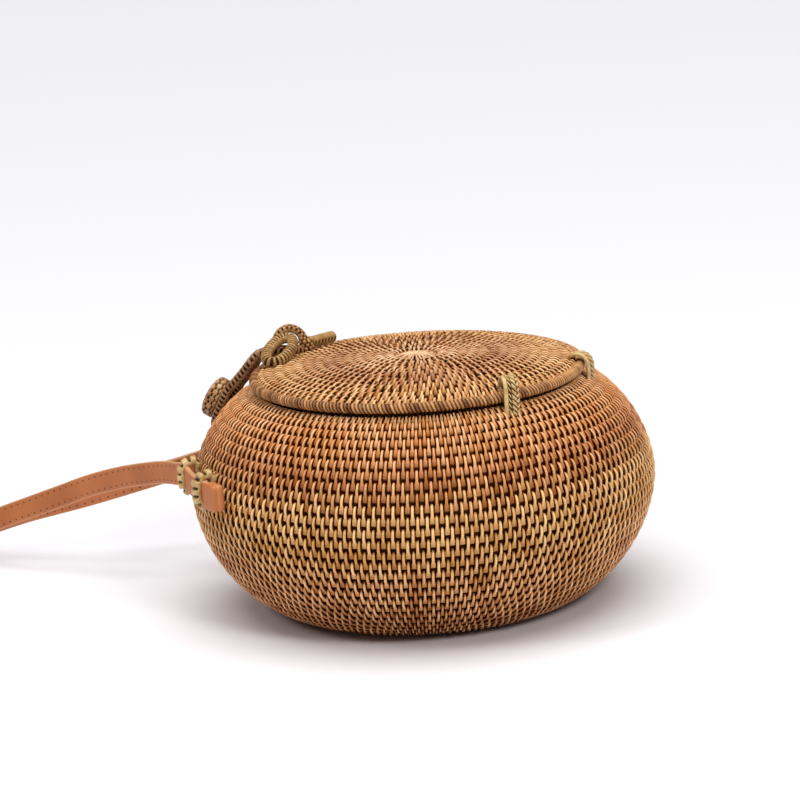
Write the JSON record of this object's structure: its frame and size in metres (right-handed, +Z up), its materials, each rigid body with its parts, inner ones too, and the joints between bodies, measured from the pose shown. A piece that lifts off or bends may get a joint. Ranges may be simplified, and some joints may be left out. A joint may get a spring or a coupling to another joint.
{
  "type": "round woven cane bag",
  "caption": "Squat round bag woven of cane, with a hinged dome lid, a knotted clasp over a woven button and a long flat leather shoulder strap.",
  "frame": {"origin": "middle of the flat underside, on the surface the bag stands on", "axes": "+Z up; the clasp looks along -Y; +X is on the right when facing the clasp, so the camera of the picture stands towards +X and +Y"},
  "size_m": [0.2, 0.4429, 0.1169],
  "materials": {
    "cane": "smoke-baked split cane, glossy",
    "olive_cane": "plaited split cane, olive yellow, glossy",
    "dark_cane": "dark bound cane cord",
    "core": "plain round cane",
    "leather": "smooth tan leather, two plies, stitched",
    "cotton": "plain cotton"
  },
  "bodies": {
    "bowl": {"bowl_weave": "cane", "mouth_hoop": "core", "mouth_binding": "cane", "bowl_lining": "cotton", "hinge_loop_left": "olive_cane", "hinge_loop_right": "olive_cane", "button_peg": "core", "button_weave": "olive_cane", "strap_loop_right_front": "olive_cane", "strap_loop_right_rear": "olive_cane", "strap_loop_left_front": "olive_cane", "strap_loop_left_rear": "olive_cane", "strap_end_right": "leather", "strap_end_left": "leather", "strap_run_right": "leather", "strap_run_left": "leather", "strap_coil": "leather"},
    "lid": {"lid_weave": "cane", "lid_hoop": "core", "lid_binding": "cane", "lid_lining": "cotton", "clasp_ear_low": "olive_cane", "clasp_ear_tall": "cane", "clasp_lashing": "dark_cane", "clasp_tail": "olive_cane"},
    "clasp": {"clasp_loop": "dark_cane"}
  },
  "joints": [
    {"name": "lid_hinge", "type": "hinge", "parent": "bowl", "child": "lid", "pos_m": [0.01341, 0.06901, 0.1], "axis": [-0.9816, 0.1908, 0], "range_deg": [0, 100], "deforming": ["hinge_loop_left", "hinge_loop_right"]},
    {"name": "clasp_lift", "type": "hinge", "parent": "lid", "child": "clasp", "pos_m": [0, -0.0735, 0.1047], "axis": [-1, 0, 0], "range_deg": [0, 90], "deforming": ["clasp_loop"]}
  ]
}
